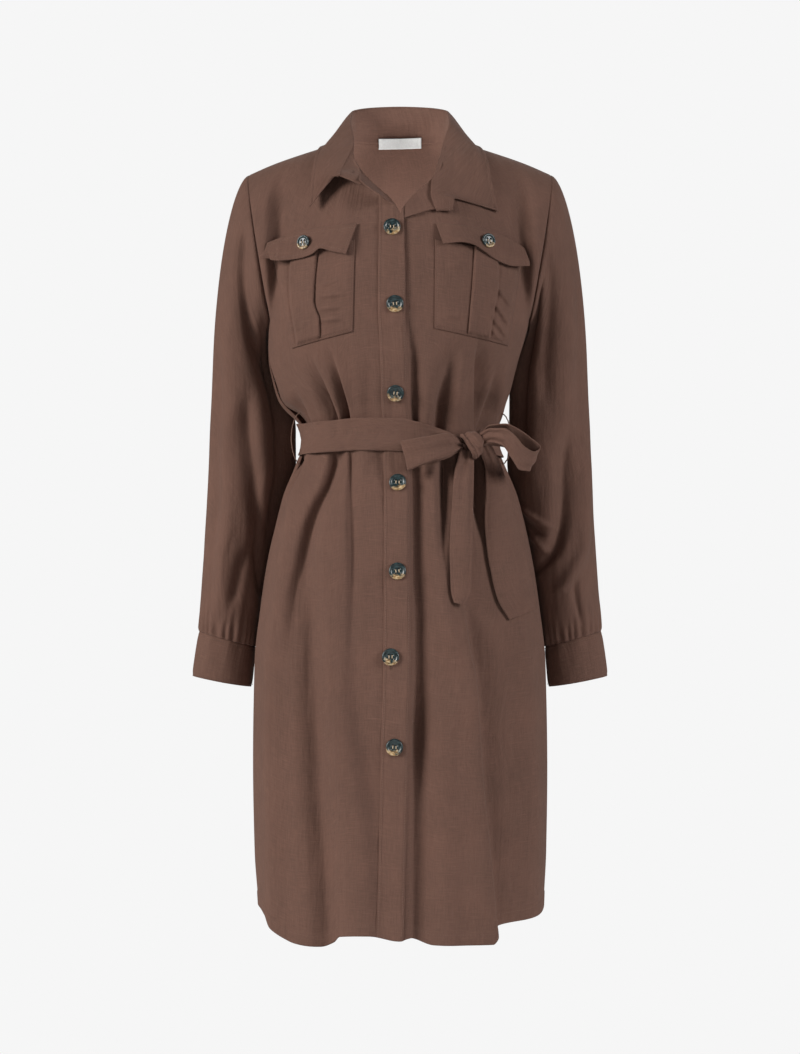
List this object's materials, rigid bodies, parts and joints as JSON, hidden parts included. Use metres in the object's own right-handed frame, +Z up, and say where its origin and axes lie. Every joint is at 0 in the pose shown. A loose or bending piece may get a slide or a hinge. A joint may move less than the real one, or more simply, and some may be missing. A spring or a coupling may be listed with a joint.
{
  "type": "shirt dress",
  "caption": "Belted knee-length shirt dress with a pointed collar, long cuffed sleeves, flap chest pockets and a tied bow belt, hollow and filled out as worn.",
  "frame": {"origin": "middle of the neck at the height of the shoulders' neck ends, where the dress is held", "axes": "+Z up the body, the front faces -Y, +X is the wearer's left"},
  "size_m": [0.5012, 0.2676, 0.997],
  "materials": {
    "cloth": "matt plain weave with small slubs",
    "band_cloth": "matt plain weave with small slubs",
    "button_plastic": "polished, marbled dark green-black and amber",
    "label_tape": "smooth woven tape, bare"
  },
  "bodies": {
    "root": {"back": "cloth", "front_left": "cloth", "front_right": "cloth", "sleeve_left": "cloth", "sleeve_right": "cloth", "cuff_left": "cloth", "cuff_right": "cloth", "collar_stand": "cloth", "collar_fall": "cloth", "pocket_left": "cloth", "pocket_right": "cloth", "flap_left": "cloth", "flap_right": "cloth", "belt_band": "cloth", "belt_knot": "cloth", "bow_loop_right": "cloth", "bow_loop_left": "cloth", "belt_tail_right": "cloth", "belt_tail_left": "cloth", "belt_carrier_left": "cloth", "belt_carrier_right": "cloth", "placket_left": "band_cloth", "placket_right": "band_cloth", "facing_right": "band_cloth", "button_1": "button_plastic", "button_2": "button_plastic", "button_3": "button_plastic", "button_4": "button_plastic", "button_5": "button_plastic", "button_6": "button_plastic", "button_7": "button_plastic", "pocket_button_right": "button_plastic", "pocket_button_left": "button_plastic", "cuff_button_left": "button_plastic", "cuff_button_right": "button_plastic", "neck_label": "label_tape"}
  },
  "joints": []
}
